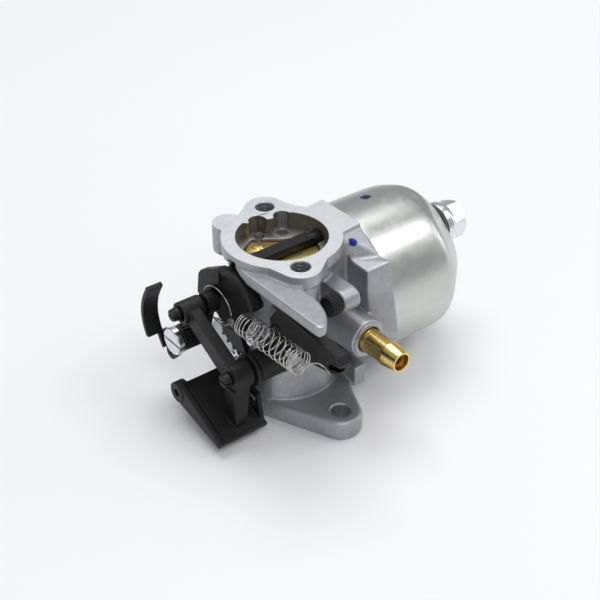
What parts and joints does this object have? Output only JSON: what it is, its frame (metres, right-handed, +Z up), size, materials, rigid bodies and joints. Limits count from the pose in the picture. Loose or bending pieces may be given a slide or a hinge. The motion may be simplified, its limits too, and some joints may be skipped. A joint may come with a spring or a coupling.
{
  "type": "carburetor",
  "caption": "Small-engine float carburetor: die-cast body with bored intake and engine flanges, steel float bowl, brass fuel nipple and a black plastic air-vane governor linkage.",
  "frame": {"origin": "middle of the bottom of the bounding box, in the plane of the engine flange face", "axes": "+Z up the main bore from the engine flange to the air-cleaner face; +X towards the float bowl and its bolt; -Y along the fuel inlet nipple"},
  "size_m": [0.1172, 0.087, 0.058],
  "materials": {
    "casting": "satin die-cast, machined on the joint faces",
    "passivated_steel": "satin zinc plate with a faint yellow-green passivate",
    "zinc": "bright zinc plate",
    "brass": "turned, bright",
    "steel": "bright drawn steel",
    "black_plastic": "moulded, semi-matt",
    "black_steel": "black oxide",
    "gasket_rubber": "matt",
    "fibre": "dark vulcanised fibre",
    "float_foam": "matt moulded"
  },
  "bodies": {
    "body": {"body_casting": "casting", "float_bowl": "passivated_steel", "bowl_gasket": "gasket_rubber", "bowl_bolt": "zinc", "bowl_bolt_washer": "fibre", "fuel_nipple": "brass", "needle_seat": "brass", "float_hinge_pin": "steel", "emulsion_tube": "brass", "main_jet": "brass", "vane_pivot_sleeve": "black_plastic", "vane_pivot_washer": "black_plastic", "vane_pivot_pin": "black_plastic", "speed_arm": "black_plastic", "speed_arm_screw": "black_steel", "governor_spring": "steel", "welch_plug": "zinc"},
    "vane": {"air_vane_lever": "black_plastic"},
    "governor": {"governor_lever": "black_plastic", "clamp_hook": "black_plastic", "clamp_screw": "zinc", "serrated_collar": "black_plastic"},
    "throttle": {"throttle_shaft": "steel", "throttle_plate": "brass", "throttle_plate_screw": "steel", "throttle_pinion": "zinc"},
    "choke": {"choke_shaft": "black_plastic", "choke_plate": "brass", "choke_plate_screw": "steel", "choke_lever": "black_plastic"},
    "float_arm": {"float": "float_foam"},
    "needle": {"inlet_needle": "steel"},
    "mixture_needle": {"mixture_screw": "brass", "mixture_screw_cap": "black_plastic"},
    "idle_stop": {"idle_speed_screw": "zinc"}
  },
  "joints": [
    {"name": "vane_hinge", "type": "hinge", "parent": "body", "child": "vane", "pos_m": [-0.0478, -0.0081, 0.0245], "axis": [1, 0, 0], "range_deg": [-10, 0]},
    {"name": "governor_hinge", "type": "hinge", "parent": "body", "child": "governor", "pos_m": [-0.0378, 0.0072, 0.0324], "axis": [1, 0, 0], "range_deg": [-28, 0], "deforming": ["governor_spring"]},
    {"name": "throttle_hinge", "type": "hinge", "parent": "body", "child": "throttle", "pos_m": [-0.0188, 0.0059, 0.015], "axis": [1, 0, 0], "range_deg": [0, 70]},
    {"name": "choke_hinge", "type": "hinge", "parent": "body", "child": "choke", "pos_m": [-0.0188, 0.0059, 0.0518], "axis": [1, 0, 0], "range_deg": [0, 75]},
    {"name": "float_hinge", "type": "hinge", "parent": "body", "child": "float_arm", "pos_m": [0.0122, -0.0141, 0.029], "axis": [0, 0, 1], "range_deg": [-6, 0]},
    {"name": "needle_slide", "type": "slide", "parent": "body", "child": "needle", "axis": [1, 0, 0], "range_m": [0, 0.0008]},
    {"name": "mixture_screw_turn", "type": "hinge", "parent": "body", "child": "mixture_needle", "pos_m": [-0.0188, -0.0181, 0.044], "axis": [1, 0, 0], "continuous": true},
    {"name": "idle_screw_turn", "type": "hinge", "parent": "body", "child": "idle_stop", "pos_m": [-0.0368, -0.0023, 0.0303], "axis": [1, 0, 0], "continuous": true}
  ],
  "couplings": [
    {"joint": "governor_hinge", "follows": "vane_hinge", "ratio": 2.72},
    {"joint": "throttle_hinge", "follows": "vane_hinge", "ratio": -6.8},
    {"joint": "needle_slide", "follows": "float_hinge", "m_per_rad": -0.007}
  ]
}
